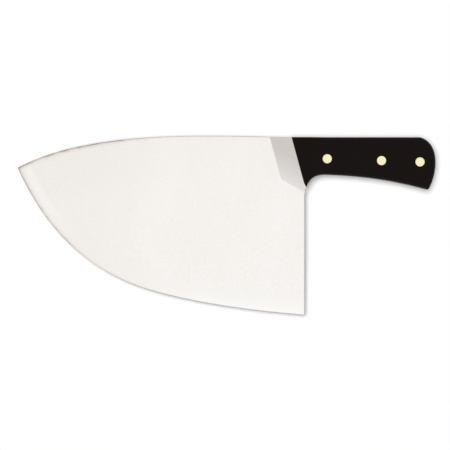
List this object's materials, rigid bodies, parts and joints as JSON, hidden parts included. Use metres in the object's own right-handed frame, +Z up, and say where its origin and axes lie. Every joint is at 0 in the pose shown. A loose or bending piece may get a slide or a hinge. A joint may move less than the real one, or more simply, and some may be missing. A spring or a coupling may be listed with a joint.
{
  "type": "wide chopping knife",
  "caption": "Wide-bladed butcher's and fishmonger's chopping knife with a curved edge, full tang and riveted black scales.",
  "frame": {"origin": "middle of the knife's outline, on the surface that its right side lies on", "axes": "+X towards the butt of the handle, with the tip at -X; +Y towards the spine, with the cutting edge at -Y; +Z up through the thickness, out of the left side"},
  "size_m": [0.4076, 0.1752, 0.02],
  "materials": {
    "steel": "fine satin",
    "scale_plastic": "smooth matt, black",
    "rivet_brass": "ground flush, pale yellow"
  },
  "bodies": {
    "root": {"blade_forging": "steel", "left_scale": "scale_plastic", "right_scale": "scale_plastic", "front_rivet_socket": "rivet_brass", "front_rivet_pin": "rivet_brass", "middle_rivet_socket": "rivet_brass", "middle_rivet_pin": "rivet_brass", "rear_rivet_socket": "rivet_brass", "rear_rivet_pin": "rivet_brass"}
  },
  "joints": []
}
